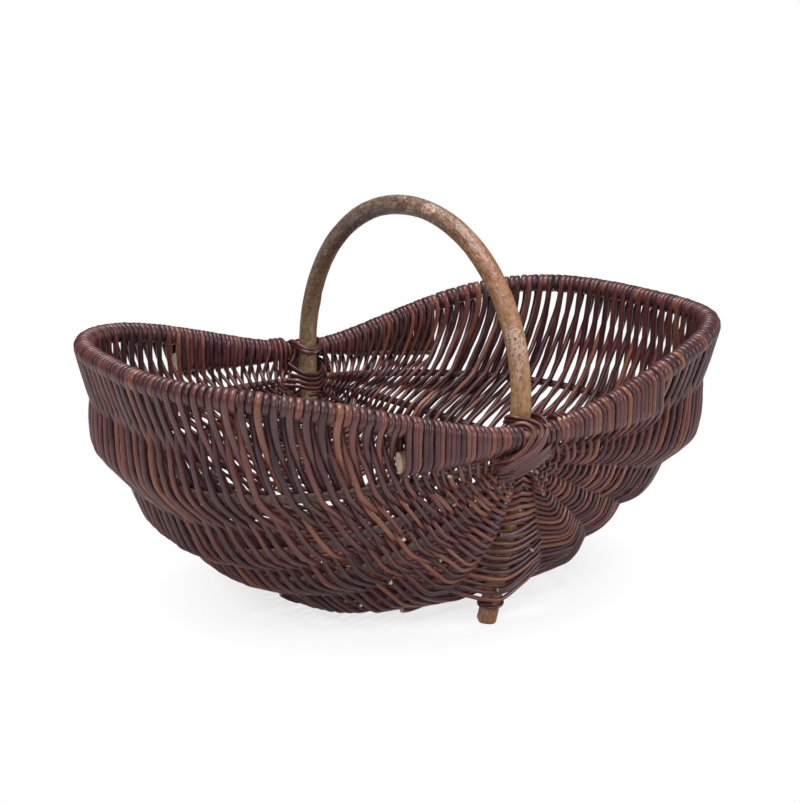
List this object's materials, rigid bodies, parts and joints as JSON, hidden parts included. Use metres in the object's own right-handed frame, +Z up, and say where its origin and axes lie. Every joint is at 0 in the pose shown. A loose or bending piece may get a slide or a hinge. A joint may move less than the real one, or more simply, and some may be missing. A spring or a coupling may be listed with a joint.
{
  "type": "trug garden basket",
  "caption": "Oval frame basket of bent ribs woven with brown rods, with raised ends, a wrapped rim and one fixed bow handle whose ends form two feet",
  "frame": {"origin": "middle of the base: the floor plane under the centre of the overall box", "axes": "+X along the basket's length to its higher end, +Y across to the back, +Z up"},
  "size_m": [0.5988, 0.4372, 0.362],
  "materials": {
    "bark_handle": "satin bark",
    "peeled_rod": "matt cut wood",
    "brown_weaver": "satin bark"
  },
  "bodies": {
    "root": {"handle_bow": "bark_handle", "rim_hoop": "peeled_rod", "side_rod_front": "peeled_rod", "side_rod_back": "peeled_rod", "rib_left_1": "peeled_rod", "rib_left_2": "peeled_rod", "rib_left_3": "peeled_rod", "rib_left_4": "peeled_rod", "rib_right_1": "peeled_rod", "rib_right_2": "peeled_rod", "rib_right_3": "peeled_rod", "rib_right_4": "peeled_rod", "rim_wrap_left": "brown_weaver", "rim_wrap_right": "brown_weaver", "ear_wrap_front": "brown_weaver", "ear_wrap_back": "brown_weaver", "ear_lashing_front": "brown_weaver", "ear_lashing_back": "brown_weaver", "foot_binding_front": "brown_weaver", "foot_binding_back": "brown_weaver", "weave_left_1": "brown_weaver", "weave_left_2": "brown_weaver", "weave_left_3": "brown_weaver", "weave_left_4": "brown_weaver", "weave_right_1": "brown_weaver", "weave_right_2": "brown_weaver", "weave_right_3": "brown_weaver", "weave_right_4": "brown_weaver", "weave_front_left": "brown_weaver", "weave_front_right": "brown_weaver", "weave_back_left": "brown_weaver", "weave_back_right": "brown_weaver", "weave_belly": "brown_weaver"}
  },
  "joints": []
}
